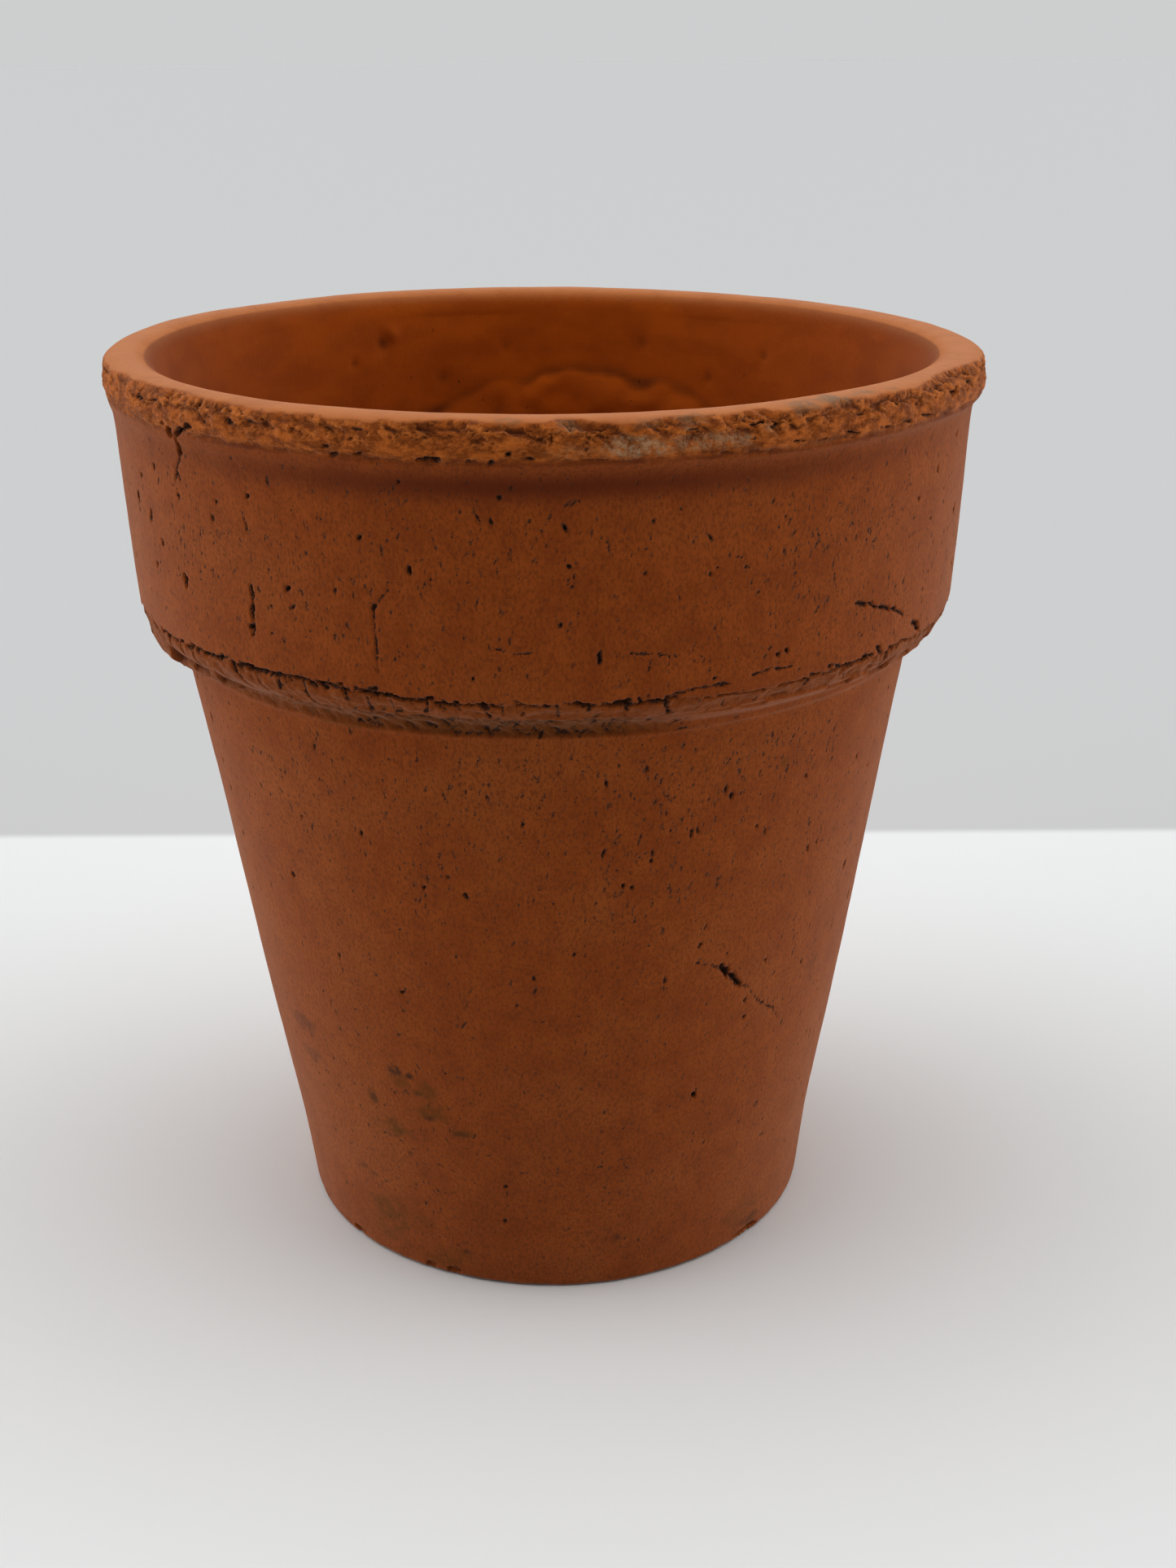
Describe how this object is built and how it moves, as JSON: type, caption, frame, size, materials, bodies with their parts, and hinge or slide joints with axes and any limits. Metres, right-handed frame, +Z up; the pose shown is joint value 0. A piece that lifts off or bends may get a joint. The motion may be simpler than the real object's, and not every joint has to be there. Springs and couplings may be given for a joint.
{
  "type": "terracotta flowerpot",
  "caption": "Small round flowerpot in weathered unglazed clay: tapered body, deep collar, thick chipped lip and a drain hole in the floor.",
  "frame": {"origin": "centre of the underside, on the surface that the pot stands on", "axes": "+Z up along the pot's axis; the pot is a body of revolution, and the worn lip face with the pale lime bloom looks towards -Y"},
  "size_m": [0.071, 0.071, 0.0757],
  "materials": {
    "fired_clay": "matt unglazed terracotta, pitted, with chipped lip, lime bloom and brown soil stains"
  },
  "bodies": {
    "root": {"pot": "fired_clay"}
  },
  "joints": []
}
